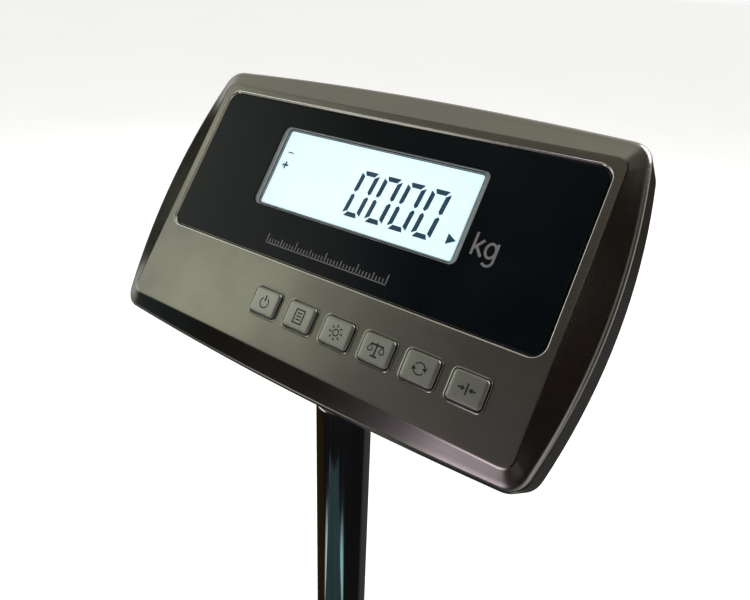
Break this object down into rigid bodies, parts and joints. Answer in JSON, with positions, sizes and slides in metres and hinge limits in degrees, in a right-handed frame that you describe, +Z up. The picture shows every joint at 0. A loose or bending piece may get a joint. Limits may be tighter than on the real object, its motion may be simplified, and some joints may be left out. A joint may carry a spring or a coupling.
{
  "type": "animal weighing scale",
  "caption": "Platform scale for animals: tread pan with rubber mat on a load cell, column behind it, and a stainless indicator head that tilts and swivels, with a backlit display and push keys.",
  "frame": {"origin": "on the floor, in the middle of the footprint of the whole scale", "axes": "+Z up the column, -Y towards the person who reads the display, +X to that person's right"},
  "size_m": [0.4, 0.623, 0.806],
  "materials": {
    "stainless_face": "brushed",
    "stainless_back": "satin",
    "stainless_pan": "brushed",
    "polished_tube": "polished",
    "key_metal": "satin",
    "panel_black": "gloss",
    "window_clear": "gloss",
    "lcd_grey": "satin",
    "lcd_cell": "gloss",
    "backlight": "matte",
    "circuit_board": "satin",
    "battery_wrap": "gloss",
    "plated_steel": "satin",
    "bracket_steel": "satin",
    "fastener": "satin",
    "black_plastic": "matte",
    "black_rubber": "matte",
    "frame_paint": "satin",
    "cell_aluminium": "satin"
  },
  "bodies": {
    "base": {"column_tube": "polished_tube", "cell_spacer_lower": "plated_steel", "cell_spacer_upper": "plated_steel", "socket_bolt_left": "fastener", "socket_bolt_right": "fastener", "column_clamp_bolt": "fastener", "neck_set_screw": "fastener", "bubble_level": "black_plastic", "pan_bumper_1": "black_rubber", "pan_bumper_2": "black_rubber", "pan_bumper_3": "black_rubber", "pan_bumper_4": "black_rubber", "base_rail_left": "frame_paint", "base_rail_right": "frame_paint", "base_crossbar_front": "frame_paint", "base_crossbar_middle": "frame_paint", "base_crossbar_rear": "frame_paint", "top_rail_left": "frame_paint", "top_rail_right": "frame_paint", "top_crossbar": "frame_paint", "column_socket": "frame_paint", "load_cell": "cell_aluminium"},
    "neck": {"column_head": "bracket_steel"},
    "head": {"front_cover": "stainless_face", "rear_cover": "stainless_back", "cover_gasket": "black_rubber", "display_panel": "panel_black", "display_window": "window_clear", "lcd_frame": "lcd_grey", "lcd_cell": "lcd_cell", "backlight_plate": "backlight", "main_board": "circuit_board", "key_board": "circuit_board", "battery_pack": "battery_wrap", "battery_clamp": "plated_steel", "charge_jack": "black_plastic", "cable_gland": "black_plastic", "switch_housing": "black_plastic", "cover_screw_1": "fastener", "cover_screw_2": "fastener", "cover_screw_3": "fastener", "cover_screw_4": "fastener", "tilt_bracket": "bracket_steel", "bracket_screw_left": "fastener", "bracket_screw_right": "fastener", "tilt_bolt": "fastener"},
    "button_1": {"key_1": "key_metal"},
    "button_2": {"key_2": "key_metal"},
    "button_3": {"key_3": "key_metal"},
    "button_4": {"key_4": "key_metal"},
    "button_5": {"key_5": "key_metal"},
    "button_6": {"key_6": "key_metal"},
    "switch": {"power_rocker": "black_plastic"},
    "clamp_knob": {"tilt_knob": "black_plastic"},
    "pan": {"tread_pan": "stainless_pan", "tread_mat": "black_rubber"},
    "leveller_1": {"foot_1": "black_rubber"},
    "leveller_2": {"foot_2": "black_rubber"},
    "leveller_3": {"foot_3": "black_rubber"},
    "leveller_4": {"foot_4": "black_rubber"}
  },
  "joints": [
    {"name": "head_swivel", "type": "hinge", "parent": "base", "child": "neck", "pos_m": [0, 0.23052, 0.6301], "axis": [0, 0, 1], "range_deg": [-170, 170]},
    {"name": "head_tilt", "type": "hinge", "parent": "neck", "child": "head", "pos_m": [0, 0.23052, 0.6571], "axis": [1, 0, 0], "range_deg": [-30, 35]},
    {"name": "key_press_1", "type": "slide", "parent": "head", "child": "button_1", "axis": [0, 0.8, -0.6], "range_m": [0, 0.0008], "stiffness_N_per_m": 900, "springref_m": -0.0004},
    {"name": "key_press_2", "type": "slide", "parent": "head", "child": "button_2", "axis": [0, 0.8, -0.6], "range_m": [0, 0.0008], "stiffness_N_per_m": 900, "springref_m": -0.0004},
    {"name": "key_press_3", "type": "slide", "parent": "head", "child": "button_3", "axis": [0, 0.8, -0.6], "range_m": [0, 0.0008], "stiffness_N_per_m": 900, "springref_m": -0.0004},
    {"name": "key_press_4", "type": "slide", "parent": "head", "child": "button_4", "axis": [0, 0.8, -0.6], "range_m": [0, 0.0008], "stiffness_N_per_m": 900, "springref_m": -0.0004},
    {"name": "key_press_5", "type": "slide", "parent": "head", "child": "button_5", "axis": [0, 0.8, -0.6], "range_m": [0, 0.0008], "stiffness_N_per_m": 900, "springref_m": -0.0004},
    {"name": "key_press_6", "type": "slide", "parent": "head", "child": "button_6", "axis": [0, 0.8, -0.6], "range_m": [0, 0.0008], "stiffness_N_per_m": 900, "springref_m": -0.0004},
    {"name": "power_rock", "type": "hinge", "parent": "head", "child": "switch", "pos_m": [0.062, 0.22872, 0.675], "axis": [0, 1, 0], "range_deg": [-16, 0]},
    {"name": "tilt_knob_turn", "type": "hinge", "parent": "head", "child": "clamp_knob", "pos_m": [0.026, 0.23052, 0.6571], "axis": [1, 0, 0], "continuous": true},
    {"name": "pan_lift_off", "type": "slide", "parent": "base", "child": "pan", "axis": [0, 0, 1], "range_m": [0, 0.08]},
    {"name": "foot_turn_1", "type": "hinge", "parent": "base", "child": "leveller_1", "pos_m": [-0.165, -0.27648, 0.01], "axis": [0, 0, 1], "continuous": true},
    {"name": "foot_turn_2", "type": "hinge", "parent": "base", "child": "leveller_2", "pos_m": [0.165, -0.27648, 0.01], "axis": [0, 0, 1], "continuous": true},
    {"name": "foot_turn_3", "type": "hinge", "parent": "base", "child": "leveller_3", "pos_m": [-0.165, 0.23052, 0.01], "axis": [0, 0, 1], "continuous": true},
    {"name": "foot_turn_4", "type": "hinge", "parent": "base", "child": "leveller_4", "pos_m": [0.165, 0.23052, 0.01], "axis": [0, 0, 1], "continuous": true}
  ]
}
